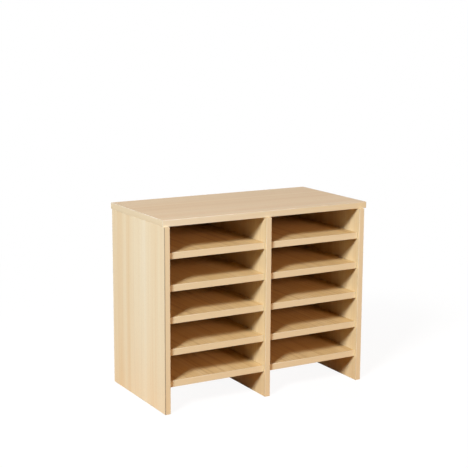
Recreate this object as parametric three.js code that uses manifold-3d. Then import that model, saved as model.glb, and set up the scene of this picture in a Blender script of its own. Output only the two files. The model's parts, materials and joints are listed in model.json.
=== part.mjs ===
// Pigeonhole mail sorter: a free-standing beech board unit with two columns of shelves,
// open at the front and standing on the lower ends of its three uprights.
// Millimetres. +X to the right, +Y towards the back, +Z up. The unit stands on z = 0.

import * as THREE from 'three';
import { mergeVertices } from 'three/addons/utils/BufferGeometryUtils.js';
import Module from 'manifold-3d';

const wasm = await Module();
wasm.setup();

// Sizes of the unit

const columnNames = ['left', 'right'];
const looseShelfCount = 4;
const bayWidth = 330;
const openingHeight = 78;
const footHeight = 80;
const uprightDepth = 372;

// Boards

const uprightThickness = 18;
const shelfThickness = 20;
const topThickness = 20;
const backThickness = 6;

// How the boards stand to each other

const shelfSetback = 10;
const topFrontSetback = 10;
const topRightOverhang = 14;
const topBeyondBack = 2;
const backInset = 6;

// Edging on the front edges and on the ends of the top

const edgingThickness = 2;
const edgingRadius = 0.8;
const edgingArcSteps = 5;

// Bent wires that carry the loose shelves

const wireRadius = 1.5;
const wireBendRadius = 2;
const wireRearInset = 40;
const wireRoundSteps = 12;
const wireBendSteps = 5;

// Slots in the ends of the loose shelves

const slotDepth = 5;
const slotFrontStop = 25;

// Dowels

const dowelRadius = 4;
const dowelEdgeInset = 60;
const topDowelInUpright = 20;
const topDowelCover = 6;
const sideDowelCover = 6;
const shelfDowelDepth = 22;
const dowelRoundSteps = 24;

// Clearances

const glueLine = 0.05;
const shelfEndClearance = 0.5;
const shelfRearClearance = 1;
const wireFaceGap = 0.5;
const wireStopGap = 0.3;
const wireRestGap = 0.05;
const slotPlay = 0.4;
const wireHoleClearance = 0.3;
const wireHoleEndGap = 0.5;
const wireHoleWeb = 2;
const dowelHoleClearance = 0.2;
const dowelEndGap = 0.5;
const cutOverrun = 1;

// Sizes that follow from the values above

const columnCount = columnNames.length;
const shelfPitch = openingHeight + shelfThickness;
const uprightHeight = footHeight + (looseShelfCount + 1) * shelfPitch;
const bayPitch = bayWidth + uprightThickness;
const carcassWidth = columnCount * bayPitch + uprightThickness;
const topRearOverhang = backThickness + topBeyondBack;
const topWidth = carcassWidth + topRightOverhang;
const topDepth = uprightDepth - topFrontSetback + topRearOverhang;
const totalDepth = uprightDepth + topRearOverhang;
const looseShelfLength = bayWidth - 2 * shelfEndClearance;
const shelfBoardFront = shelfSetback + edgingThickness;
const looseShelfRear = uprightDepth - shelfRearClearance;
const bottomShelfLength = bayWidth - 2 * glueLine;
const bottomShelfTop = footHeight + shelfThickness;
const slotFront = shelfBoardFront + slotFrontStop;
const slotHeight = 2 * wireRadius + slotPlay;
const wireOffset = wireFaceGap + wireRadius;
const wireFrontLine = slotFront + wireStopGap + wireRadius;
const wireRearLine = uprightDepth - wireRearInset;
const wireHoleDepth = (uprightThickness - wireHoleWeb) / 2;
const wireHoleRadius = wireRadius + wireHoleClearance;
const wireLegDepth = wireHoleDepth - wireHoleEndGap;
const dowelHoleRadius = dowelRadius + dowelHoleClearance;
const dowelFrontLine = dowelEdgeInset;
const dowelRearLine = uprightDepth - dowelEdgeInset;
const topDowelInTop = topThickness - topDowelCover;
const sideDowelDepth = uprightThickness - sideDowelCover;
const bottomDowelHeight = footHeight + shelfThickness / 2;

// Finishes

const boardFinish = { color: 0xe0c39a, roughness: 0.5, metalness: 0 };
const edgingFinish = { color: 0xd9b687, roughness: 0.45, metalness: 0 };
const backFinish = { color: 0xa28565, roughness: 0.7, metalness: 0 };
const wireFinish = { color: 0xb9bdc2, roughness: 0.35, metalness: 1 };
const dowelFinish = { color: 0xd8b88b, roughness: 0.75, metalness: 0 };

// Closed solids for cutting, and back to a drawable geometry

function toSolid(geometry) {
  const bare = geometry.clone();
  bare.deleteAttribute('normal');
  bare.deleteAttribute('uv');
  const welded = mergeVertices(bare);
  const mesh = new wasm.Mesh({
    numProp: 3,
    vertProperties: new Float32Array(welded.attributes.position.array),
    triVerts: new Uint32Array(welded.index.array),
  });
  return new wasm.Manifold(mesh);
}

function toGeometry(solid) {
  const mesh = solid.getMesh();
  const geometry = new THREE.BufferGeometry();
  geometry.setAttribute('position', new THREE.BufferAttribute(new Float32Array(mesh.vertProperties), 3));
  geometry.setIndex(new THREE.BufferAttribute(new Uint32Array(mesh.triVerts), 1));
  geometry.computeVertexNormals();
  return geometry;
}

function cutAway(geometry, cutters) {
  let solid = toSolid(geometry);
  for (const cutter of cutters) {
    solid = solid.subtract(toSolid(cutter));
  }
  return toGeometry(solid);
}

// Basic shapes, each given by its place in the group it belongs to

function block(low, high) {
  const geometry = new THREE.BoxGeometry(high.x - low.x, high.y - low.y, high.z - low.z);
  geometry.translate((low.x + high.x) / 2, (low.y + high.y) / 2, (low.z + high.z) / 2);
  return geometry;
}

function rodAlongX(radius, fromX, toX, y, z, steps) {
  const geometry = new THREE.CylinderGeometry(radius, radius, toX - fromX, steps);
  geometry.rotateZ(-Math.PI / 2);
  geometry.translate((fromX + toX) / 2, y, z);
  return geometry;
}

function rodAlongZ(radius, x, y, fromZ, toZ, steps) {
  const geometry = new THREE.CylinderGeometry(radius, radius, toZ - fromZ, steps);
  geometry.rotateX(Math.PI / 2);
  geometry.translate(x, y, (fromZ + toZ) / 2);
  return geometry;
}

// Edging strip: flat towards the board, with both outer corners rounded.
// The profile lies across the board's thickness and points outward; the strip runs along its length.
function edgingStrip(boardThickness, length, outward, along) {
  const half = boardThickness / 2;
  const face = edgingThickness;
  const profile = new THREE.Shape();
  profile.moveTo(-half, glueLine);
  profile.lineTo(half, glueLine);
  profile.lineTo(half, face - edgingRadius);
  profile.absarc(half - edgingRadius, face - edgingRadius, edgingRadius, 0, Math.PI / 2, false);
  profile.lineTo(-half + edgingRadius, face);
  profile.absarc(-half + edgingRadius, face - edgingRadius, edgingRadius, Math.PI / 2, Math.PI, false);
  profile.closePath();
  const geometry = new THREE.ExtrudeGeometry(profile, {
    depth: length,
    bevelEnabled: false,
    curveSegments: edgingArcSteps,
  });
  const across = new THREE.Vector3().crossVectors(outward, along);
  geometry.applyMatrix4(new THREE.Matrix4().makeBasis(across, outward, along));
  return geometry;
}

// Path of a bent wire in plan: a leg out of the upright, a bend, the long run, a bend, a leg back in.
// side is +1 where the bay lies to the right of the upright and -1 where it lies to the left.
class BentWirePath extends THREE.Curve {
  constructor(side) {
    super();
    const runStart = wireFrontLine + wireBendRadius;
    const runEnd = wireRearLine - wireBendRadius;
    const bendStart = wireOffset - wireBendRadius;
    this.stations = [new THREE.Vector3(-side * wireLegDepth, wireFrontLine, 0)];
    for (let step = 0; step <= wireBendSteps; step += 1) {
      const angle = (step / wireBendSteps) * Math.PI / 2;
      const x = bendStart + wireBendRadius * Math.sin(angle);
      const y = runStart - wireBendRadius * Math.cos(angle);
      this.stations.push(new THREE.Vector3(side * x, y, 0));
    }
    for (let step = 0; step <= wireBendSteps; step += 1) {
      const angle = (step / wireBendSteps) * Math.PI / 2;
      const x = bendStart + wireBendRadius * Math.cos(angle);
      const y = runEnd + wireBendRadius * Math.sin(angle);
      this.stations.push(new THREE.Vector3(side * x, y, 0));
    }
    this.stations.push(new THREE.Vector3(-side * wireLegDepth, wireRearLine, 0));
  }

  stationCount() {
    return this.stations.length;
  }

  getPointAt(share) {
    return this.stations[Math.round(share * (this.stations.length - 1))].clone();
  }

  getTangentAt(share) {
    const last = this.stations.length - 1;
    const index = Math.round(share * last);
    const here = this.stations[index];
    const before = this.stations[Math.max(index - 1, 0)];
    const after = this.stations[Math.min(index + 1, last)];
    const arriving = here.clone().sub(before).normalize();
    const leaving = after.clone().sub(here).normalize();
    return arriving.add(leaving).normalize();
  }
}

function wireGeometry(side) {
  const path = new BentWirePath(side);
  const section = new THREE.Shape();
  section.absarc(0, 0, wireRadius, 0, 2 * Math.PI, false);
  return new THREE.ExtrudeGeometry(section, {
    steps: path.stationCount() - 1,
    curveSegments: wireRoundSteps / 2,
    extrudePath: path,
    bevelEnabled: false,
  });
}

function piece(name, geometry, finish) {
  const mesh = new THREE.Mesh(geometry, new THREE.MeshStandardMaterial(finish));
  mesh.name = name;
  return mesh;
}

// Places: heights of the shelves' upper faces, from the top row down to the fixed bottom shelf

const looseShelfTops = [];
for (let row = 0; row < looseShelfCount; row += 1) {
  looseShelfTops.push(uprightHeight - openingHeight - row * shelfPitch);
}

const sorter = new THREE.Group();
sorter.name = 'pigeonhole_mail_sorter';

const carcass = new THREE.Group();
carcass.position.set(-topWidth / 2, -totalDepth / 2, 0);
sorter.add(carcass);

// Uprights: two side panels and the centre divider, with their dowel holes and wire holes

const towardsFront = new THREE.Vector3(0, -1, 0);
const towardsLeft = new THREE.Vector3(-1, 0, 0);
const towardsRight = new THREE.Vector3(1, 0, 0);
const upwards = new THREE.Vector3(0, 0, 1);

function wireHoles(faceX, intoUpright) {
  const holes = [];
  const nearX = faceX - intoUpright * cutOverrun;
  const farX = faceX + intoUpright * wireHoleDepth;
  const lowX = Math.min(nearX, farX);
  const highX = Math.max(nearX, farX);
  for (const shelfTop of looseShelfTops) {
    const wireZ = shelfTop - shelfThickness / 2;
    for (const wireY of [wireFrontLine, wireRearLine]) {
      holes.push(rodAlongX(wireHoleRadius, lowX, highX, wireY, wireZ, wireRoundSteps));
    }
  }
  return holes;
}

function bottomDowelHoles(fromX, toX) {
  const holes = [];
  for (const dowelY of [dowelFrontLine, dowelRearLine]) {
    holes.push(rodAlongX(dowelHoleRadius, fromX, toX, dowelY, bottomDowelHeight, dowelRoundSteps));
  }
  return holes;
}

function topDowelHoles(x, fromZ, toZ) {
  const holes = [];
  for (const dowelY of [dowelFrontLine, dowelRearLine]) {
    holes.push(rodAlongZ(dowelHoleRadius, x, dowelY, fromZ, toZ, dowelRoundSteps));
  }
  return holes;
}

const uprightNames = ['left_side', 'centre_divider', 'right_side'];
const uprightBoardNames = ['left_side_panel', 'centre_divider', 'right_side_panel'];

uprightNames.forEach((name, index) => {
  const group = new THREE.Group();
  group.position.set(index * bayPitch, 0, 0);
  carcass.add(group);
  const board = block(
    new THREE.Vector3(0, edgingThickness, 0),
    new THREE.Vector3(uprightThickness, uprightDepth, uprightHeight),
  );
  const hasLeftBay = index > 0;
  const hasRightBay = index < columnCount;
  const holes = topDowelHoles(
    uprightThickness / 2,
    uprightHeight - topDowelInUpright,
    uprightHeight + cutOverrun,
  );
  if (hasLeftBay) {
    holes.push(...wireHoles(0, 1));
  }
  if (hasRightBay) {
    holes.push(...wireHoles(uprightThickness, -1));
  }
  const dowelFromX = hasLeftBay ? -cutOverrun : uprightThickness - sideDowelDepth;
  const dowelToX = hasRightBay ? uprightThickness + cutOverrun : sideDowelDepth;
  holes.push(...bottomDowelHoles(dowelFromX, dowelToX));
  group.add(piece(uprightBoardNames[index], cutAway(board, holes), boardFinish));
  const strip = piece(
    `${name}_edging`,
    edgingStrip(uprightThickness, uprightHeight, towardsFront, upwards),
    edgingFinish,
  );
  strip.position.set(uprightThickness / 2, edgingThickness, 0);
  group.add(strip);
  const topDowelLow = uprightHeight - topDowelInUpright + dowelEndGap;
  const topDowelHigh = uprightHeight + topDowelInTop - dowelEndGap;
  const placeNames = ['front', 'rear'];
  [dowelFrontLine, dowelRearLine].forEach((dowelY, place) => {
    group.add(piece(
      `${name}_top_${placeNames[place]}_dowel`,
      rodAlongZ(dowelRadius, uprightThickness / 2, dowelY, topDowelLow, topDowelHigh, dowelRoundSteps),
      dowelFinish,
    ));
    const leftEnd = hasLeftBay ? -shelfDowelDepth : uprightThickness - sideDowelDepth;
    const rightEnd = hasRightBay ? uprightThickness + shelfDowelDepth : sideDowelDepth;
    group.add(piece(
      `${name}_bottom_${placeNames[place]}_dowel`,
      rodAlongX(
        dowelRadius,
        leftEnd + dowelEndGap,
        rightEnd - dowelEndGap,
        dowelY,
        bottomDowelHeight,
        dowelRoundSteps,
      ),
      dowelFinish,
    ));
  });
});

// Top panel on the uprights, with edging on its front and both ends

const topGroup = new THREE.Group();
topGroup.position.set(0, topFrontSetback, uprightHeight + glueLine);
carcass.add(topGroup);

const topBoard = block(
  new THREE.Vector3(edgingThickness, edgingThickness, 0),
  new THREE.Vector3(topWidth - edgingThickness, topDepth, topThickness - glueLine),
);
const topHoles = [];
for (let index = 0; index <= columnCount; index += 1) {
  const x = index * bayPitch + uprightThickness / 2;
  for (const dowelY of [dowelFrontLine, dowelRearLine]) {
    topHoles.push(rodAlongZ(
      dowelHoleRadius,
      x,
      dowelY - topFrontSetback,
      -cutOverrun,
      topDowelInTop - glueLine,
      dowelRoundSteps,
    ));
  }
}
topGroup.add(piece('top_panel', cutAway(topBoard, topHoles), boardFinish));

const topEdgeHeight = topThickness - glueLine;
const topEndLength = topDepth - edgingThickness - glueLine;
const topFrontEdging = piece(
  'top_front_edging',
  edgingStrip(topEdgeHeight, topWidth, towardsFront, towardsRight),
  edgingFinish,
);
topFrontEdging.position.set(0, edgingThickness, topEdgeHeight / 2);
const topLeftEdging = piece(
  'top_left_edging',
  edgingStrip(topEdgeHeight, topEndLength, towardsLeft, towardsFront),
  edgingFinish,
);
topLeftEdging.position.set(edgingThickness, topDepth, topEdgeHeight / 2);
const topRightEdging = piece(
  'top_right_edging',
  edgingStrip(topEdgeHeight, topEndLength, towardsRight, towardsFront),
  edgingFinish,
);
topRightEdging.position.set(topWidth - edgingThickness, topDepth, topEdgeHeight / 2);
topGroup.add(topFrontEdging, topLeftEdging, topRightEdging);

// Back on the rear edges of the uprights, from the bottom shelf up to the top

const back = block(
  new THREE.Vector3(backInset, uprightDepth + glueLine, footHeight),
  new THREE.Vector3(carcassWidth - backInset, uprightDepth + backThickness, uprightHeight),
);
carcass.add(piece('back_panel', back, backFinish));

// Shelves: in each column the loose ones on their wires, and the fixed bottom shelf

function looseShelfGeometry() {
  const board = block(
    new THREE.Vector3(shelfEndClearance, shelfBoardFront, -shelfThickness),
    new THREE.Vector3(bayWidth - shelfEndClearance, looseShelfRear, 0),
  );
  const wireZ = -shelfThickness / 2;
  const roof = wireZ + wireRadius + wireRestGap;
  const leftSlot = block(
    new THREE.Vector3(shelfEndClearance - cutOverrun, slotFront, roof - slotHeight),
    new THREE.Vector3(shelfEndClearance + slotDepth, looseShelfRear + cutOverrun, roof),
  );
  const rightSlot = block(
    new THREE.Vector3(bayWidth - shelfEndClearance - slotDepth, slotFront, roof - slotHeight),
    new THREE.Vector3(bayWidth - shelfEndClearance + cutOverrun, looseShelfRear + cutOverrun, roof),
  );
  return cutAway(board, [leftSlot, rightSlot]);
}

function bottomShelfGeometry() {
  const board = block(
    new THREE.Vector3(glueLine, shelfBoardFront, -shelfThickness),
    new THREE.Vector3(bayWidth - glueLine, uprightDepth, 0),
  );
  const holes = [];
  for (const dowelY of [dowelFrontLine, dowelRearLine]) {
    const z = -shelfThickness / 2;
    const farX = bayWidth - shelfDowelDepth;
    holes.push(rodAlongX(dowelHoleRadius, -cutOverrun, shelfDowelDepth, dowelY, z, dowelRoundSteps));
    holes.push(rodAlongX(dowelHoleRadius, farX, bayWidth + cutOverrun, dowelY, z, dowelRoundSteps));
  }
  return cutAway(board, holes);
}

function addShelf(parent, name, top, geometry, length, endGap) {
  const group = new THREE.Group();
  group.position.set(0, 0, top);
  parent.add(group);
  group.add(piece(name, geometry, boardFinish));
  const strip = piece(
    `${name}_edging`,
    edgingStrip(shelfThickness, length, towardsFront, towardsRight),
    edgingFinish,
  );
  strip.position.set(endGap, shelfBoardFront, -shelfThickness / 2);
  group.add(strip);
  return group;
}

columnNames.forEach((columnName, column) => {
  const bay = new THREE.Group();
  bay.position.set(uprightThickness + column * bayPitch, 0, 0);
  carcass.add(bay);
  looseShelfTops.forEach((shelfTop, row) => {
    const name = `${columnName}_shelf_${row + 1}`;
    const group = addShelf(bay, name, shelfTop, looseShelfGeometry(), looseShelfLength, shelfEndClearance);
    const leftWire = piece(`${name}_left_wire`, wireGeometry(1), wireFinish);
    leftWire.position.set(0, 0, -shelfThickness / 2);
    const rightWire = piece(`${name}_right_wire`, wireGeometry(-1), wireFinish);
    rightWire.position.set(bayWidth, 0, -shelfThickness / 2);
    group.add(leftWire, rightWire);
  });
  const bottomName = `${columnName}_bottom_shelf`;
  addShelf(bay, bottomName, bottomShelfTop, bottomShelfGeometry(), bottomShelfLength, glueLine);
});

export default sorter;
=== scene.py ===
# %% [markdown]
# A pigeonhole mail sorter
#
# The object is a small open cabinet of beech-effect board: three uprights, a top, ten shelves in two
# columns and a thin back. Its solid parts are already made at their real size, and this lesson gives them
# their looks. The solids come in as a fixed frame. Nothing here moves or resizes them: a part either
# keeps its own mesh and gets a finish, or a finer copy of it stands in its place.

# %% Load the solid parts
import json
import math

import bmesh
import bpy
from mathutils import Matrix, Vector

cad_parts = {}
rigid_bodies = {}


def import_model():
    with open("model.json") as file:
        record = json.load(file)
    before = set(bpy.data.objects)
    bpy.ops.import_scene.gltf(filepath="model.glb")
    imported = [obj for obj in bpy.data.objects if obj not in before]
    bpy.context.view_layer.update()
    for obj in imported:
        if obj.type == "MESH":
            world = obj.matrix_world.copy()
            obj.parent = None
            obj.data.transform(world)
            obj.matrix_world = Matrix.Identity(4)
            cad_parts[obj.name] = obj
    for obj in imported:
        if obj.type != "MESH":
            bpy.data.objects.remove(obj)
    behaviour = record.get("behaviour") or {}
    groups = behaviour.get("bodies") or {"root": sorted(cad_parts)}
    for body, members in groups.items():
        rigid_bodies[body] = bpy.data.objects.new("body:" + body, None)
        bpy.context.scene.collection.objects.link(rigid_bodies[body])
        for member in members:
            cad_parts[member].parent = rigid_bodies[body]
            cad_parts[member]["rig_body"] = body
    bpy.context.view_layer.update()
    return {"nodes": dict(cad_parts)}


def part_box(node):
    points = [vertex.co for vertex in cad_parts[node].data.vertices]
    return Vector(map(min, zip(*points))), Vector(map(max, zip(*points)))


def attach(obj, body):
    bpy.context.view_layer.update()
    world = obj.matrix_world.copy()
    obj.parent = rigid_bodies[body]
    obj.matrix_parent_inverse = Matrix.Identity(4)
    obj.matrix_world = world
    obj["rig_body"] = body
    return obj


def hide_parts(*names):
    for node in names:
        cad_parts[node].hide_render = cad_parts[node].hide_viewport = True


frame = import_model()
nodes = frame["nodes"]

# %% [markdown]
# The camera
#
# A photograph is matched by placing a camera where the photographer stood and giving it the same field of
# view. Here that was worked out from the places of the corners in the picture: the camera stands to the
# left of the cabinet and above it, more than three metres away, behind a long lens. The turn of the
# camera is built from three directions at right angles, which is easier to check than three angles about
# three axes.

# %% Place the camera
image_width = 468
focal_length_in_pixels = 1157.9
sensor_width = 36.0
camera_place = Vector((-1.8313, -3.1531, 1.1843))
camera_yaw = 0.521
camera_pitch = 0.189
camera_roll = 0.005

forward = Vector((
    math.sin(camera_yaw) * math.cos(camera_pitch),
    math.cos(camera_yaw) * math.cos(camera_pitch),
    -math.sin(camera_pitch),
))
level_right = Vector((math.cos(camera_yaw), -math.sin(camera_yaw), 0.0))
level_up = level_right.cross(forward)
camera_right = level_right * math.cos(camera_roll) + level_up * math.sin(camera_roll)
camera_up = camera_right.cross(forward)
camera_turn = Matrix((camera_right, camera_up, -forward)).transposed().to_4x4()

camera_data = bpy.data.cameras.new("catalogue_camera")
camera_data.sensor_width = sensor_width
camera_data.lens = focal_length_in_pixels / image_width * sensor_width
camera = bpy.data.objects.new("catalogue_camera", camera_data)
camera.matrix_world = Matrix.Translation(camera_place) @ camera_turn
bpy.context.scene.collection.objects.link(camera)
bpy.context.scene.camera = camera
bpy.context.scene.view_settings.view_transform = "Standard"
print("lens", round(camera_data.lens, 1), "mm")

# %% [markdown]
# A few lines for making node materials
#
# Every finish below is a small graph of shader nodes, and a few helpers keep the graphs readable. One
# fills a socket and one adds a node with its settings and inputs: a link is given as the socket it comes
# from, and a constant as a plain value. Three more work on numbers: one step of arithmetic, a factor with
# an offset, and a number that fades from one value to another.

# %% Node helpers
def put(socket, value):
    """Link a socket to another socket, or set it to a constant."""
    if isinstance(value, bpy.types.NodeSocket):
        socket.id_data.links.new(value, socket)
    else:
        socket.default_value = value


def add(tree, kind, inputs=None, **settings):
    """Add a node, set its properties, and fill its inputs by name or number."""
    node = tree.nodes.new(kind)
    for name, value in settings.items():
        setattr(node, name, value)
    for name, value in (inputs or {}).items():
        put(node.inputs[name], value)
    return node


def math_node(tree, operation, first, second, clamp=False):
    """One step of arithmetic on two numbers."""
    inputs = {0: first, 1: second}
    return add(tree, "ShaderNodeMath", inputs, operation=operation, use_clamp=clamp).outputs[0]


def scaled(tree, value, factor, offset=0.0):
    """A number times a factor, plus an offset."""
    inputs = {0: value, 1: factor, 2: offset}
    return add(tree, "ShaderNodeMath", inputs, operation="MULTIPLY_ADD").outputs[0]


def fade(tree, value, start, end, first=0.0, last=1.0, curve="LINEAR"):
    """A number that runs from first to last while the value runs from start to end."""
    inputs = {"Value": value, "From Min": start, "From Max": end, "To Min": first, "To Max": last}
    return add(tree, "ShaderNodeMapRange", inputs, interpolation_type=curve).outputs["Result"]


print("node helpers ready")

# %% [markdown]
# Colours, and the start of a material
#
# Colours come about in two ways here: one colour is laid over another by an amount, or a number picks its
# colour from a row of stops. A new material already holds a shader, and every pattern is laid out in the
# same Object coordinates, so the last helper hands both of them back with the material.

# %% Colour and material helpers
def blend_colours(tree, amount, under, over):
    """Lay one colour over another by an amount from 0 to 1."""
    factor_input, under_input, over_input, colour_output = 0, 6, 7, 2
    mix = add(tree, "ShaderNodeMix", data_type="RGBA")
    put(mix.inputs[factor_input], amount)
    put(mix.inputs[under_input], under)
    put(mix.inputs[over_input], over)
    return mix.outputs[colour_output]


def ramp(tree, value, stops, colour=True):
    """Turn a number into a colour, or into another number, through a row of stops."""
    node = add(tree, "ShaderNodeValToRGB", {0: value})
    elements = node.color_ramp.elements
    while len(elements) < len(stops):
        elements.new(1.0)
    for element, (place, shade) in zip(elements, stops):
        element.position = place
        element.color = (*shade, 1.0) if colour else (shade, shade, shade, 1.0)
    return node.outputs["Color"]


def start_material(name):
    """A new material with its shader, and the Object coordinates that its patterns are laid out in."""
    material = bpy.data.materials.new(name)
    material.use_nodes = True
    tree = material.node_tree
    shader = tree.nodes["Principled BSDF"]
    place = add(tree, "ShaderNodeTexCoord").outputs["Object"]
    return material, tree, shader, place


print("colour and material helpers ready")

# %% [markdown]
# The floor
#
# A catalogue picture has a white ground. Lighting the floor until it turns white would also burn out the
# pale board, so the floor only looks white: rays from the camera, and the reflections that polished metal
# shows, meet a glow. Near the cabinet the glow is held back and a little grey paint is added, so that the
# soft shadow still shows. What the floor sends back into the cabinet is set apart from what it shows:
# under the cabinet it is a warm brown, because the feet in the picture are lit by warm light, and it
# mirrors little there.

# %% Make the floor
floor_reach = 30.0
white = (1.0, 1.0, 1.0, 1.0)
glow_near_cabinet = 0.925
glow_far_away = 1.0
glow_near_radius = 0.55
glow_far_radius = 2.2
paint_near_cabinet = (0.10, 0.10, 0.10, 1.0)
paint_far_away = (0.0, 0.0, 0.0, 1.0)
tone_under_cabinet = (0.40, 0.20, 0.05, 1.0)
tone_in_the_open = (0.17, 0.11, 0.065, 1.0)
mirrored_under_cabinet = 0.05
mirrored_in_the_open = 1.0
under_radius = 0.40
open_radius = 1.0


def seen_ray(tree, mirrored=1.0):
    """1 for the rays that show the surround itself, with a share of the glossy ones among them."""
    path = add(tree, "ShaderNodeLightPath")
    glossy = math_node(tree, "MULTIPLY", path.outputs["Is Glossy Ray"], mirrored)
    seen = math_node(tree, "ADD", path.outputs["Is Camera Ray"], glossy)
    return math_node(tree, "ADD", seen, path.outputs["Is Transmission Ray"], clamp=True)


def floor_material():
    material, tree, shader, place = start_material("studio_floor")
    tree.nodes.remove(shader)
    away = add(tree, "ShaderNodeVectorMath", {0: place}, operation="LENGTH").outputs["Value"]
    far = fade(tree, away, glow_near_radius, glow_far_radius, curve="SMOOTHSTEP")
    in_the_open = fade(tree, away, under_radius, open_radius, curve="SMOOTHSTEP")
    mirrored = fade(tree, in_the_open, 0.0, 1.0, mirrored_under_cabinet, mirrored_in_the_open)
    seen = seen_ray(tree, mirrored)
    shown_paint = blend_colours(tree, far, paint_near_cabinet, paint_far_away)
    bounced_tone = blend_colours(tree, in_the_open, tone_under_cabinet, tone_in_the_open)
    floor_colour = blend_colours(tree, seen, bounced_tone, shown_paint)
    glow = fade(tree, far, 0.0, 1.0, glow_near_cabinet, glow_far_away)
    shown_glow = math_node(tree, "MULTIPLY", glow, seen)
    paint = add(tree, "ShaderNodeBsdfDiffuse", {"Color": floor_colour})
    light = add(tree, "ShaderNodeEmission", {"Color": white, "Strength": shown_glow})
    both = add(tree, "ShaderNodeAddShader", {0: paint.outputs[0], 1: light.outputs[0]})
    put(tree.nodes["Material Output"].inputs["Surface"], both.outputs[0])
    return material


def make_floor():
    shape = bmesh.new()
    bmesh.ops.create_grid(shape, x_segments=1, y_segments=1, size=floor_reach)
    mesh = bpy.data.meshes.new("studio_floor")
    shape.to_mesh(mesh)
    shape.free()
    mesh.materials.append(floor_material())
    floor = bpy.data.objects.new("studio_floor", mesh)
    bpy.context.scene.collection.objects.link(floor)


make_floor()
print("floor made, reaching", floor_reach, "m each way")

# %% [markdown]
# The white surround
#
# The world is made in the same way: white to the camera and in reflections, and dim to all other rays. In
# front of the cabinet it is almost black, so that the pigeonholes stay dark inside. Behind it is a middle
# grey, which gives the back some light when the cabinet is looked at from there.

# %% Make the world
surround_in_front = (0.018, 0.011, 0.006, 1.0)
surround_behind = (0.32, 0.32, 0.32, 1.0)
turning_behind = (-0.1, 0.5)


def make_world():
    world = bpy.data.worlds.new("white_surround")
    world.use_nodes = True
    tree = world.node_tree
    toward = add(tree, "ShaderNodeTexCoord").outputs["Generated"]
    rearward = add(tree, "ShaderNodeSeparateXYZ", {0: toward}).outputs["Y"]
    behind = fade(tree, rearward, *turning_behind, curve="SMOOTHSTEP")
    level = blend_colours(tree, behind, surround_in_front, surround_behind)
    dim = add(tree, "ShaderNodeBackground", {"Color": level, "Strength": 1.0})
    bright = add(tree, "ShaderNodeBackground", {"Color": white, "Strength": 1.0})
    choice = add(tree, "ShaderNodeMixShader", {0: seen_ray(tree), 1: dim.outputs[0], 2: bright.outputs[0]})
    put(tree.nodes["World Output"].inputs["Surface"], choice.outputs[0])
    bpy.context.scene.world = world


make_world()
print("surround made")

# %% [markdown]
# The light
#
# The shadows in the pigeonholes tell where the light stood. On each shelf the lit strip ends about as far
# back as the opening above it is high, and starts on a slant behind the left upright, so the main lamp
# was in front, well to the left and above. The edges of the shadows are wide, so it was a large soft box,
# and the light is even from the top to the feet, so it stood far off. A warm card, almost straight ahead
# of the cabinet, stands for the light that gets into the shade, which is brown and not grey. A low card
# from behind and the right lights the rear. No lamp shows in the picture itself.

# %% Hang the lamps
aim = Vector((0.0, 0.0, 0.30))


def hang_lamp(name, direction, distance, width, height, power, colour):
    """A flat soft lamp that faces the cabinet from a direction."""
    lamp = bpy.data.lights.new(name, "AREA")
    lamp.color = colour
    lamp.shape = "RECTANGLE"
    lamp.size = width
    lamp.size_y = height
    lamp.energy = power
    holder = bpy.data.objects.new(name, lamp)
    holder.location = aim + direction.normalized() * distance
    holder.rotation_mode = "QUATERNION"
    holder.rotation_quaternion = (-direction).to_track_quat("-Z", "Y")
    holder.visible_camera = False
    bpy.context.scene.collection.objects.link(holder)
    print(name, "at", [round(part, 2) for part in holder.location])


soft_box = {
    "direction": Vector((-1.52, -1.0, 1.15)), "distance": 11.0, "width": 2.3, "height": 2.3,
    "power": 1415.0, "colour": (1.0, 1.0, 1.0)}
fill_card = {
    "direction": Vector((0.27, -1.0, 0.31)), "distance": 6.4, "width": 1.4, "height": 1.1,
    "power": 168.0, "colour": (1.0, 0.53, 0.30)}
rear_card = {
    "direction": Vector((0.75, 1.0, 0.0)), "distance": 4.0, "width": 1.4, "height": 0.45,
    "power": 130.0, "colour": (1.0, 1.0, 1.0)}
hang_lamp("soft_box", **soft_box)
hang_lamp("fill_card", **fill_card)
hang_lamp("rear_card", **rear_card)

# %% [markdown]
# The grain of beech
#
# Beech is quiet: broad pale and warm bands a few centimetres wide, finer streaks inside them, many short
# dark flecks a few millimetres long, and here and there a thin darker line. Each is a noise texture
# stretched along the grain, at its own scale. The pattern is laid out in Object coordinates, which are
# real metres here, so every board shows another stretch of the same wood. A slow push to and fro keeps
# the grain from looking ruled.

# %% Grain helpers
axes = {"X": 0, "Y": 1, "Z": 2}
band_scale, band_share = 24.0, 0.62
streak_scale, streak_share = 150.0, 0.26
fine_scale, fine_share = 700.0, 0.12
long_grain = 0.012
fleck_scale = 1500.0
fleck_length_share = 0.11
fleck_stops = [(0.60, 0.0), (0.70, 1.0)]
line_scale = 34.0
line_stops = [(0.46, 0.0), (0.50, 1.0), (0.54, 0.0)]
wander_scale = 2.2
wander_reach = 0.012
middle_grey = (0.5, 0.5, 0.5)


def stretched(tree, place, grain, share):
    """Coordinates squeezed along the grain, so that a pattern laid in them is drawn out that way."""
    scale = [1.0, 1.0, 1.0]
    scale[axes[grain]] = share
    return add(tree, "ShaderNodeMapping", {"Vector": place, "Scale": scale}).outputs["Vector"]


def noise(tree, vector, scale, detail=2.0, roughness=0.5):
    """A noise value from 0 to 1."""
    node = add(tree, "ShaderNodeTexNoise", {
        "Vector": vector, "Scale": scale, "Detail": detail, "Roughness": roughness})
    return node.outputs["Fac"]


def vector_step(tree, operation, inputs):
    """One step of arithmetic on vectors."""
    return add(tree, "ShaderNodeVectorMath", inputs, operation=operation).outputs[0]


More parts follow.
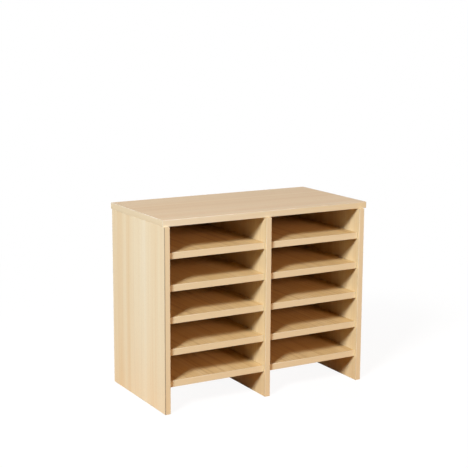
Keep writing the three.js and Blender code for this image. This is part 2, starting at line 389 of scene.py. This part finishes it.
def wandering(tree, place):
    """The same coordinates, pushed a little to and fro, so that the grain doesn't run dead straight."""
    push = add(tree, "ShaderNodeTexNoise", {"Vector": place, "Scale": wander_scale, "Detail": 1.0})
    centred = vector_step(tree, "SUBTRACT", {0: push.outputs["Color"], 1: middle_grey})
    small = vector_step(tree, "SCALE", {0: centred, "Scale": wander_reach})
    return vector_step(tree, "ADD", {0: place, 1: small})


def grain_pattern(tree, place, grain):
    """The grain as four numbers: its tone, its fine streaks, its flecks and its thin dark lines."""
    drawn_out = stretched(tree, wandering(tree, place), grain, long_grain)
    bands = noise(tree, drawn_out, band_scale)
    streaks = noise(tree, drawn_out, streak_scale, detail=3.0)
    fine = noise(tree, drawn_out, fine_scale)
    broad = scaled(tree, bands, band_share)
    middle = scaled(tree, streaks, streak_share)
    small = scaled(tree, fine, fine_share)
    tone = math_node(tree, "ADD", math_node(tree, "ADD", broad, middle), small)
    dashes = noise(tree, stretched(tree, place, grain, fleck_length_share), fleck_scale, detail=1.0)
    rings = noise(tree, drawn_out, line_scale, detail=1.0)
    return {
        "tone": tone, "fine": fine,
        "flecks": ramp(tree, dashes, fleck_stops, colour=False),
        "lines": ramp(tree, rings, line_stops, colour=False)}


def painted_light_drift(tree, place, tone, drift):
    """The tone, shifted slowly along one axis, as painted shade and painted light: darker where less light
    falls and paler where more does.
    """
    axis, start, end, first_shift, last_shift = drift
    along = add(tree, "ShaderNodeSeparateXYZ", {0: place}).outputs[axis]
    return math_node(tree, "ADD", tone, fade(tree, along, start, end, first_shift, last_shift))


print("grain helpers ready")

# %% [markdown]
# Wear with a painted highlight, and relief
#
# Two things come back on several finishes. Arrises are rubbed in patches, and a face attribute says where
# they are: that could be guessed from the bend of the surface, but the model knows it exactly. On the
# edging the pale rubbing is also a painted highlight along the round arrises. And most surfaces have a
# slight relief, which is made as a bump with its real depth, because it is far too fine to be modelled.

# %% Wear, painted highlight and relief helpers
rub_and_highlight_patch_scale = 35.0
rub_and_highlight_patch_stops = [(0.42, 0.15), (0.62, 1.0)]


def add_wear_and_highlight(tree, place, colour, rub_and_highlight_colour, amount):
    """Patchy wear on the softened arrises, which their own face attribute marks out; on the edging the pale
    scraping is also a painted highlight.
    """
    arris = add(tree, "ShaderNodeAttribute", attribute_name="arris").outputs["Fac"]
    patches = ramp(tree, noise(tree, place, rub_and_highlight_patch_scale, detail=4.0), rub_and_highlight_patch_stops, colour=False)
    worn_and_highlit = scaled(tree, math_node(tree, "MULTIPLY", arris, patches), amount)
    return blend_colours(tree, worn_and_highlit, colour, rub_and_highlight_colour)


def relief(tree, height, depth):
    """A bump of a real depth in metres."""
    bump = add(tree, "ShaderNodeBump", {"Height": height, "Distance": depth, "Strength": 1.0})
    return bump.outputs["Normal"]


print("wear and relief helpers ready")

# %% [markdown]
# Beech-effect board
#
# The faces of the board carry a printed beech pattern under a matt melamine film. The tone of the grain
# picks a colour from a ramp, and the dark lines and flecks are laid over it. The outer side, the top, the
# inner walls and the shelves each have a ramp of their own, palest on the outer side and darkest on the
# shelves. The tone is also shifted as painted shade: the outer side is darker toward its rear and the inner
# walls toward their feet. The film is pressed with faint pores, which the flecks drive as a bump, and it is
# rubbed a little browner on the arrises. A picture of real beech would repeat from board to board, and
# this pattern doesn't.

# %% Beech-effect board material
film_tones = {
    "outer": [(0.30, (0.749, 0.595, 0.371)), (0.44, (0.782, 0.660, 0.451)),
              (0.54, (0.801, 0.701, 0.500)), (0.70, (0.830, 0.757, 0.586))],
    "top": [(0.30, (0.665, 0.465, 0.268)), (0.44, (0.715, 0.536, 0.336)),
            (0.54, (0.738, 0.577, 0.378)), (0.70, (0.771, 0.626, 0.437))],
    "inner": [(0.30, (0.666, 0.510, 0.286)), (0.44, (0.712, 0.566, 0.332)),
              (0.54, (0.735, 0.603, 0.373)), (0.70, (0.762, 0.655, 0.447))],
    "shelf": [(0.30, (0.608, 0.428, 0.185)), (0.44, (0.676, 0.502, 0.241)),
              (0.54, (0.708, 0.539, 0.276)), (0.70, (0.755, 0.604, 0.340))],
}
# Painted shade: the outer side darkens toward its rear and the inner walls toward their feet.
painted_film_shade_drift = {"outer": ("Y", 0.0, 0.19, 0.0, -0.20), "inner": ("Z", 0.55, 0.0, 0.0, -0.10)}
film_lines = {"outer": 0.06, "top": 0.06, "inner": 0.10, "shelf": 0.34}
line_colour = (0.36, 0.21, 0.09, 1.0)
fleck_colour = (0.50, 0.31, 0.16, 1.0)
film_flecks = 0.30
film_rub_colour = (0.70, 0.53, 0.34, 1.0)
film_wear = 0.3
film_roughness, film_roughness_range = 0.46, 0.16
fleck_roughness = 0.06
pore_ripple = 0.35
pore_depth = 0.00004
film_gloss = 0.28


def beech_board(tones, grain):
    material, tree, shader, place = start_material(f"beech_film_{tones}_{grain.lower()}")
    pattern = grain_pattern(tree, place, grain)
    tone = pattern["tone"]
    # Painted shade, darker toward the rear of the outer side and toward the feet of the inner walls.
    if tones in painted_film_shade_drift:
        tone = painted_light_drift(tree, place, tone, painted_film_shade_drift[tones])
    wood = ramp(tree, tone, film_tones[tones])
    lined = blend_colours(tree, scaled(tree, pattern["lines"], film_lines[tones]), wood, line_colour)
    flecked = blend_colours(tree, scaled(tree, pattern["flecks"], film_flecks), lined, fleck_colour)
    put(shader.inputs["Base Color"], add_wear_and_highlight(tree, place, flecked, film_rub_colour, film_wear))
    matt = scaled(tree, pattern["fine"], film_roughness_range, film_roughness)
    put(shader.inputs["Roughness"], scaled(tree, pattern["flecks"], fleck_roughness, matt))
    pores = math_node(tree, "SUBTRACT", scaled(tree, pattern["fine"], pore_ripple), pattern["flecks"])
    put(shader.inputs["Normal"], relief(tree, pores, pore_depth))
    shader.inputs["Specular IOR Level"].default_value = film_gloss
    return material


side_film = beech_board("outer", "Z")
top_film = beech_board("top", "X")
inner_film = beech_board("inner", "Z")
shelf_film = beech_board("shelf", "Y")
print("films:", [finish.name for finish in (side_film, top_film, inner_film, shelf_film)])

# %% [markdown]
# Edging
#
# The front edges of the boards, and the ends of the top, wear a 2 mm plastic edging with a plainer print.
# One plain colour would do from afar, but the same grain with a narrow ramp holds up close by. The strip
# along the front of the top is painted paler toward its left end, a painted highlight where the light
# falls strongest. Where a strip is glued on, a thin dark line shows. Its rounded arrises are scraped nearly
# white in patches, most of all on the top: partly wear and partly a painted highlight along the round.
# Down the outer arris of the left upright the trimming went through the print and left a brown line.

# %% Edging material
edging_tones = {
    "plain": [(0.32, (0.664, 0.614, 0.414)), (0.50, (0.683, 0.640, 0.445)), (0.68, (0.697, 0.662, 0.474))],
    "pale": [(0.25, (0.662, 0.598, 0.380)), (0.50, (0.671, 0.655, 0.490)), (0.75, (0.735, 0.742, 0.615))],
    "end": [(0.32, (0.673, 0.551, 0.360)), (0.50, (0.713, 0.593, 0.392)), (0.68, (0.743, 0.630, 0.431))],
}
# Painted highlight: the front strip of the top is paler toward its left end, where the light falls
# strongest.
edging_highlight_drift = {"pale": ("X", -0.36, 0.36, 0.15, -0.15)}
# How strongly the round arrises are scraped pale: partly wear, partly a painted highlight.
edging_wear_and_highlight = {"plain": 0.40, "pale": 0.75, "end": 0.80}
edging_flecks = 0.16
edging_roughness, edging_roughness_range = 0.42, 0.14
edging_print_depth = 0.00003
edging_gloss = 0.42
glue_colour = (0.25, 0.15, 0.075, 1.0)
# The scraped colour on the edging arrises is also a painted highlight.
scrape_and_highlight_colour = (0.92, 0.89, 0.83, 1.0)
trimmed_colour = (0.22, 0.17, 0.105, 1.0)
trimmed_width = 0.0019
trimmed_fade = 0.0007
trimmed_strength = 0.75


def trimmed_arris(tree, place, colour, outer_face):
    """A brown line down an outer arris, where trimming went through the print."""
    across = add(tree, "ShaderNodeSeparateXYZ", {0: place}).outputs["X"]
    line_end = outer_face + trimmed_width
    near = fade(tree, across, line_end, line_end + trimmed_fade, trimmed_strength, 0.0)
    return blend_colours(tree, near, colour, trimmed_colour)


def beech_edging(tones, grain, outer_face=None):
    name = f"beech_edging_{tones}_{grain.lower()}" + ("" if outer_face is None else "_trimmed")
    material, tree, shader, place = start_material(name)
    pattern = grain_pattern(tree, place, grain)
    tone = pattern["tone"]
    # Painted highlight along the front strip of the top.
    if tones in edging_highlight_drift:
        tone = painted_light_drift(tree, place, tone, edging_highlight_drift[tones])
    printed = ramp(tree, tone, edging_tones[tones])
    flecked = blend_colours(tree, scaled(tree, pattern["flecks"], edging_flecks), printed, fleck_colour)
    glue = add(tree, "ShaderNodeAttribute", attribute_name="glue_line").outputs["Fac"]
    glued = blend_colours(tree, glue, flecked, glue_colour)
    # Patchy scraped wear with a painted highlight on the round arrises.
    worn_and_highlit = add_wear_and_highlight(tree, place, glued, scrape_and_highlight_colour, edging_wear_and_highlight[tones])
    if outer_face is not None:
        worn_and_highlit = trimmed_arris(tree, place, worn_and_highlit, outer_face)
    put(shader.inputs["Base Color"], worn_and_highlit)
    put(shader.inputs["Roughness"], scaled(tree, pattern["fine"], edging_roughness_range, edging_roughness))
    put(shader.inputs["Normal"], relief(tree, pattern["fine"], edging_print_depth))
    shader.inputs["Specular IOR Level"].default_value = edging_gloss
    return material


left_side_outer_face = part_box("left_side_edging")[0].x
upright_edging = beech_edging("plain", "Z")
left_side_edging = beech_edging("plain", "Z", outer_face=left_side_outer_face)
shelf_edging = beech_edging("plain", "X")
top_front_edging = beech_edging("pale", "X")
top_end_edging = beech_edging("end", "Y")
edgings = [upright_edging, left_side_edging, shelf_edging, top_front_edging, top_end_edging]
print("edging finishes:", [finish.name for finish in edgings])

# %% [markdown]
# Chipboard core
#
# Edges that nobody sees stay bare, and there the pressed wood chips of the core show. Noise would give
# soft clouds, and chips have edges, so a cell texture draws them: each cell gets a shade of its own, and
# the distance from its middle darkens the gaps between the chips and drives a coarse bump.

# %% Chipboard core material
chip_scale = 520.0
chip_length_share = 0.45
chip_stops = [(0.0, (0.33, 0.22, 0.12)), (0.55, (0.52, 0.38, 0.23)), (1.0, (0.66, 0.52, 0.34))]
chip_gap_stops = [(0.35, 0.0), (0.75, 1.0)]
chip_gap_strength = 0.6
chip_gap_colour = (0.16, 0.10, 0.055, 1.0)
core_roughness, core_roughness_range = 0.78, 0.12
chip_depth = 0.00025
core_gloss = 0.2


def chipboard_core():
    material, tree, shader, place = start_material("chipboard_core")
    chips = add(tree, "ShaderNodeTexVoronoi", {
        "Vector": stretched(tree, place, "X", chip_length_share), "Scale": chip_scale})
    shade = add(tree, "ShaderNodeSeparateColor", {0: chips.outputs["Color"]}).outputs[0]
    gaps = ramp(tree, chips.outputs["Distance"], chip_gap_stops, colour=False)
    dark_gaps = scaled(tree, gaps, chip_gap_strength)
    wood = ramp(tree, shade, chip_stops)
    put(shader.inputs["Base Color"], blend_colours(tree, dark_gaps, wood, chip_gap_colour))
    put(shader.inputs["Roughness"], scaled(tree, shade, core_roughness_range, core_roughness))
    put(shader.inputs["Normal"], relief(tree, math_node(tree, "SUBTRACT", shade, gaps), chip_depth))
    shader.inputs["Specular IOR Level"].default_value = core_gloss
    return material


core_finish = chipboard_core()
print("core finish:", core_finish.name)

# %% [markdown]
# Fibre back
#
# The back is a thin sheet of brown fibreboard, bare on both faces. A cloudy noise and a fine one drawn
# out upward share the tone, and the fine one also makes the slight nap of the fibres.

# %% Fibre back material
cloud_scale = 9.0
fibre_scale = 1400.0
fibre_length_share = 0.12
fibre_tone_share = 0.5
fibre_stops = [(0.34, (0.27, 0.165, 0.085)), (0.5, (0.36, 0.235, 0.13)), (0.66, (0.45, 0.31, 0.18))]
fibre_roughness, fibre_roughness_range = 0.62, 0.2
fibre_depth = 0.00006
fibre_gloss = 0.25


def fibre_back():
    material, tree, shader, place = start_material("bare_fibre_back")
    cloud = noise(tree, place, cloud_scale, detail=5.0, roughness=0.6)
    drawn_out = stretched(tree, wandering(tree, place), "Z", fibre_length_share)
    fibres = noise(tree, drawn_out, fibre_scale, detail=3.0)
    cloud_part = scaled(tree, cloud, 1.0 - fibre_tone_share)
    tone = math_node(tree, "ADD", cloud_part, scaled(tree, fibres, fibre_tone_share))
    put(shader.inputs["Base Color"], ramp(tree, tone, fibre_stops))
    put(shader.inputs["Roughness"], scaled(tree, fibres, fibre_roughness_range, fibre_roughness))
    put(shader.inputs["Normal"], relief(tree, fibres, fibre_depth))
    shader.inputs["Specular IOR Level"].default_value = fibre_gloss
    return material


fibre_finish = fibre_back()
print("back finish:", fibre_finish.name)

# %% [markdown]
# Steel
#
# The shelf wires are zinc-plated steel, slightly cloudy, with fine lines along the way the wire was
# drawn. The pins in the back are steel of the same kind, a little darker. Both have a metal's shader, so
# their colour shows only in what they mirror, and the lines in their roughness draw the reflections out.

# %% Wire and pin materials
plating_cloud_scale = 130.0
plating_stops = (0.35, 0.65)
drawn_line_scale = 4200.0
drawn_line_share = 0.03
drawn_line_depth = 0.00001
steel_roughness, steel_roughness_range = 0.24, 0.22
wire_dark, wire_bright = (0.56, 0.57, 0.59), (0.70, 0.71, 0.73)
pin_dark, pin_bright = (0.50, 0.50, 0.51), (0.66, 0.66, 0.67)


def plated_steel(name, dark, bright, drawn):
    material, tree, shader, place = start_material(name)
    cloud = noise(tree, place, plating_cloud_scale, detail=3.0)
    lines = noise(tree, stretched(tree, place, drawn, drawn_line_share), drawn_line_scale, detail=1.0)
    put(shader.inputs["Base Color"], ramp(tree, cloud, list(zip(plating_stops, (dark, bright)))))
    put(shader.inputs["Roughness"], scaled(tree, lines, steel_roughness_range, steel_roughness))
    put(shader.inputs["Normal"], relief(tree, lines, drawn_line_depth))
    shader.inputs["Metallic"].default_value = 1.0
    return material


wire_finish = plated_steel("zinc_plated_wire", wire_dark, wire_bright, "Y")
pin_finish = plated_steel("bright_steel_pin", pin_dark, pin_bright, "X")
print("steel finishes:", [finish.name for finish in (wire_finish, pin_finish)])

# %% [markdown]
# Bare beech
#
# The dowels that hold the boards together are bare beech with a little glue stain. They are hidden in
# their holes, so one streaky noise for the grain and one cloudy noise for the stain are enough.

# %% Dowel material
dowel_streak_scale = 900.0
dowel_streak_share = 0.06
dowel_stops = [(0.35, (0.50, 0.32, 0.17)), (0.65, (0.68, 0.49, 0.29))]
stain_scale = 240.0
stain_strength = 0.3
stain_colour = (0.42, 0.27, 0.14, 1.0)
dowel_roughness, dowel_roughness_range = 0.6, 0.2
dowel_grain_depth = 0.00008


def bare_beech():
    material, tree, shader, place = start_material("bare_beech_dowel")
    streaks = noise(tree, stretched(tree, place, "Z", dowel_streak_share), dowel_streak_scale, detail=3.0)
    stain = scaled(tree, noise(tree, place, stain_scale, detail=3.0), stain_strength)
    wood = ramp(tree, streaks, dowel_stops)
    put(shader.inputs["Base Color"], blend_colours(tree, stain, wood, stain_colour))
    put(shader.inputs["Roughness"], scaled(tree, streaks, dowel_roughness_range, dowel_roughness))
    put(shader.inputs["Normal"], relief(tree, streaks, dowel_grain_depth))
    return material


dowel_finish = bare_beech()
print("dowel finish:", dowel_finish.name)

# %% [markdown]
# Finer copies of the solids
#
# A solid from CAD has knife-sharp arrises, and no real board has. The solids arrive as loose triangles,
# so a copy is welded and its flat faces are made whole again, and only then do its long edges take a
# bevel of under half a millimetre. Drilled holes and slots come along with the copy and show when a shelf
# is drawn out. The narrow faces that the bevel makes are marked in a face attribute, which the finishes
# read as the place of wear.

# %% Helpers that soften a copy of a solid
weld_distance = 0.000002
flat_angle = math.radians(0.5)
sharp_angle = math.radians(40.0)
arris_width = 0.0003
round_segments = 2
shortest_softened_edge = 0.012
narrow_face = 0.001


def welded_copy(node_name):
    """A bmesh of a solid with its triangles joined and its flat faces whole."""
    shape = bmesh.new()
    shape.from_mesh(nodes[node_name].data)
    bmesh.ops.remove_doubles(shape, verts=shape.verts, dist=weld_distance)
    bmesh.ops.dissolve_limit(shape, angle_limit=flat_angle, verts=shape.verts, edges=shape.edges)
    return shape


def round_edges(shape, edges, width, clamp):
    """Bevel some edges with a small round, and return the faces that it makes."""
    made = bmesh.ops.bevel(shape, geom=edges, offset=width, offset_type="OFFSET", affect="EDGES",
        segments=round_segments, profile=0.5, material=-1, clamp_overlap=clamp)
    return made["faces"]


def soften_arrises(shape):
    """Round the long sharp edges, and mark the new faces in the face attribute named arris."""
    arris = shape.faces.layers.float.new("arris")
    long_edges = [
        edge for edge in shape.edges
        if edge.calc_length() > shortest_softened_edge and edge.calc_face_angle(0.0) > sharp_angle
    ]
    for face in round_edges(shape, long_edges, arris_width, clamp=True):
        face[arris] = 1.0


def smooth_narrow_faces(shape):
    """Shade the narrow faces of round stretches smooth, and leave the wide ones flat."""
    for face in shape.faces:
        # A long face is about as wide as twice its area over its outline.
        face.smooth = 2.0 * face.calc_area() < narrow_face * face.calc_perimeter()


print("softening helpers ready")

# %% [markdown]
# From a shape to a piece
#
# A finished shape becomes a mesh with its materials, and an object that stays at the origin, because its
# place is in the mesh already. Where it stands for a solid, the solid itself is no longer shown, and the
# piece rides on the same body, so that it comes along when a shelf is drawn out.

# %% Helpers that make a piece from a shape
def finish_piece(shape, name, materials):
    """Turn a bmesh into an object at the origin, with its place in its mesh."""
    mesh = bpy.data.meshes.new(name)
    shape.to_mesh(mesh)
    shape.free()
    for material in materials:
        mesh.materials.append(material)
    piece = bpy.data.objects.new(name, mesh)
    bpy.context.scene.collection.objects.link(piece)
    return piece


def stand_for(piece, node_name):
    """The piece takes the place of a solid and rides on the same body."""
    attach(piece, nodes[node_name]["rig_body"])
    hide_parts(node_name)


print("piece helpers ready")

# %% [markdown]
# The boards
#
# The film covers the two broad faces of a board, and the upper ends of the uprights, which show in front
# of the top. Every other face, and the inside of each hole and slot, is bare chipboard, so each face
# takes its finish from the way it points and from where it lies. The grain runs down the uprights, along
# the top and from front to back on the shelves, as it does on the real cabinet.

# %% Dress the boards
film, core = 0, 1
facing = 0.9
at_surface = 0.00005


def is_filmed(face, face_axis, low, high):
    """Whether the film covers a face: a broad face of the board, or the upper end of an upright."""
    axis = axes[face_axis]
    middle = face.calc_center_median()
    to_surface = min(abs(middle[axis] - low[axis]), abs(middle[axis] - high[axis]))
    broad = to_surface < at_surface and abs(face.normal[axis]) > facing
    upper_end = face_axis == "X" and face.normal.z > facing and middle.z > high.z - at_surface
    return broad or upper_end


def dress_board(node_name, face_axis, film_finish):
    """A softened copy of a board, with film where the board has it and bare core everywhere else."""
    low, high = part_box(node_name)
    shape = welded_copy(node_name)
    for face in shape.faces:
        face.material_index = film if is_filmed(face, face_axis, low, high) else core
    soften_arrises(shape)
    smooth_narrow_faces(shape)
    piece = finish_piece(shape, f"{node_name}_board", [film_finish, core_finish])
    stand_for(piece, node_name)
    return piece


upright_films = {"left_side_panel": side_film, "centre_divider": inner_film, "right_side_panel": inner_film}
column_names = ["left", "right"]
loose_shelf_rows = range(1, 5)
loose_shelf_names = [f"{column}_shelf_{row}" for column in column_names for row in loose_shelf_rows]
bottom_shelf_names = [f"{column}_bottom_shelf" for column in column_names]
shelf_names = loose_shelf_names + bottom_shelf_names

boards = [dress_board(name, "X", finish) for name, finish in upright_films.items()]
boards.append(dress_board("top_panel", "Z", top_film))
boards.extend(dress_board(name, "Z", shelf_film) for name in shelf_names)
print("boards:", len(boards))

# %% [markdown]
# The back panel
#
# The back is one plain sheet, laid on the rear edges of the uprights under the overhang of the top. It is
# made in the same way as the boards, from a welded copy with softened arrises, and has one finish all over.

# %% Dress the back panel
def dress_back():
    shape = welded_copy("back_panel")
    soften_arrises(shape)
    smooth_narrow_faces(shape)
    piece = finish_piece(shape, "back_panel_sheet", [fibre_finish])
    stand_for(piece, "back_panel")
    return piece


back = dress_back()
print("back panel:", len(back.data.polygons), "faces")

# %% [markdown]
# The edging strips
#
# Each strip already has its two rounded arrises in the solid. The copy only needs welding, a touch of a
# bevel round its two sawn ends and smooth shading on the round stretches. Its rear corners, which meet
# the board, are marked in a point attribute: the mark fades out over the first millimetre of the strip,
# and the finish draws the dark glue line from it.

# %% Dress the edging
strip_finishes = {
    "top_front_edging": top_front_edging,
    "top_left_edging": top_end_edging,
    "top_right_edging": top_end_edging,
    "left_side_edging": left_side_edging,
    "centre_divider_edging": upright_edging,
    "right_side_edging": upright_edging,
}
strip_finishes.update({f"{shelf}_edging": shelf_edging for shelf in shelf_names})
glue_reach = 0.00005
end_softening = 0.0002


def glued_side(node_name):
    """The axis across the joint, and the coordinate of the strip's glued face on it."""
    low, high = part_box(node_name)
    if node_name == "top_left_edging":
        return axes["X"], high.x
    if node_name == "top_right_edging":
        return axes["X"], low.x
    return axes["Y"], high.y


def soften_ends(shape, node_name):
    """Round the outline of a strip's two sawn ends."""
    low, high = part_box(node_name)
    sides = list(high - low)
    along = sides.index(max(sides))
    outline = [
        edge for edge in shape.edges
        if sum(abs(face.normal[along]) > facing for face in edge.link_faces) == 1
    ]
    round_edges(shape, outline, end_softening, clamp=False)


def dress_edging(node_name, finish):
    axis, joint = glued_side(node_name)
    shape = welded_copy(node_name)
    soften_ends(shape, node_name)
    glue_line = shape.verts.layers.float.new("glue_line")
    for vertex in shape.verts:
        vertex[glue_line] = 1.0 if abs(vertex.co[axis] - joint) < glue_reach else 0.0
    smooth_narrow_faces(shape)
    # The round arrises are marked for the scraped wear and the painted highlight on them.
    arris = shape.faces.layers.float.new("arris")
    for face in shape.faces:
        face[arris] = 1.0 if face.smooth else 0.0
    piece = finish_piece(shape, f"{node_name}_strip", [finish])
    stand_for(piece, node_name)
    return piece


strips = [dress_edging(name, finish) for name, finish in strip_finishes.items()]
print("edging strips:", len(strips))

# %% [markdown]
# Shelf wires and dowels
#
# The wires hide in the slots of the shelf ends and show when a shelf is drawn out. A curve with a round
# section could make them anew, but the solids already follow the bends. Their section has few sides, so a
# welded copy is shaded smooth. The dowels sit inside the boards: their solids stay, with a finish.

# %% Dress the wires and dowels
def dress_wire(node_name):
    shape = bmesh.new()
    shape.from_mesh(nodes[node_name].data)
    bmesh.ops.remove_doubles(shape, verts=shape.verts, dist=weld_distance)
    for face in shape.faces:
        face.smooth = True
    piece = finish_piece(shape, f"{node_name}_rod", [wire_finish])
    piece.data.set_sharp_from_angle(angle=sharp_angle)
    stand_for(piece, node_name)
    return piece


wires = [dress_wire(name) for name in nodes if name.endswith("_wire")]
dowel_names = [name for name in nodes if name.endswith("_dowel")]
for name in dowel_names:
    nodes[name].data.materials.clear()
    nodes[name].data.materials.append(dowel_finish)
print("wires:", len(wires), "dowels:", len(dowel_names))

# %% [markdown]
# Pins in the back
#
# A thin back is held by small pins driven into the rear edges of the uprights and of the fixed bottom
# shelves. One pin head is a short disc with a rounded rim: a low cylinder whose rear rim is bevelled. An
# array would space the heads evenly but not find the boards, so their rows are worked out from the boards
# that they go into, and all the heads are one piece.

# %% Drive the back pins
pin_head_radius = 0.0016
pin_head_height = 0.0005
pin_rim = 0.0002
pin_sides = 16
pins_per_upright = 6
pin_end_inset = 0.02
pins_per_bottom_shelf = 3
facing_rear = Matrix.Rotation(math.radians(-90.0), 4, "X")


def add_pin(shape, place):
    """One pin head on the rear face of the back, its round rim to the rear."""
    disc = bmesh.ops.create_cone(shape, cap_ends=True, segments=pin_sides, radius1=pin_head_radius,
        radius2=pin_head_radius, depth=pin_head_height, matrix=Matrix.Translation(place) @ facing_rear)
    edges = dict.fromkeys(edge for vertex in disc["verts"] for edge in vertex.link_edges)
    rear_rim = [edge for edge in edges if all(vertex.co.y > place.y for vertex in edge.verts)]
    round_edges(shape, rear_rim, pin_rim, clamp=True)


def spread(first, last, count):
    """Evenly spaced places from first to last."""
    return [first + (last - first) * step / (count - 1) for step in range(count)]


def pin_places():
    low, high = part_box("back_panel")
    rear = high.y + pin_head_height / 2
    places = []
    for name in upright_films:
        board_low, board_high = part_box(name)
        middle = (max(board_low.x, low.x) + min(board_high.x, high.x)) / 2
        heights = spread(low.z + pin_end_inset, high.z - pin_end_inset, pins_per_upright)
        places.extend(Vector((middle, rear, height)) for height in heights)
    for name in bottom_shelf_names:
        board_low, board_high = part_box(name)
        inner_places = spread(board_low.x, board_high.x, pins_per_bottom_shelf + 2)[1:-1]
        places.extend(Vector((across, rear, (board_low.z + board_high.z) / 2)) for across in inner_places)
    return places


def drive_pins(places):
    shape = bmesh.new()
    for place in places:
        add_pin(shape, place)
    smooth_narrow_faces(shape)
    pins = finish_piece(shape, "back_panel_pins", [pin_finish])
    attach(pins, "carcass")


back_pin_places = pin_places()
drive_pins(back_pin_places)
print("pins:", len(back_pin_places))
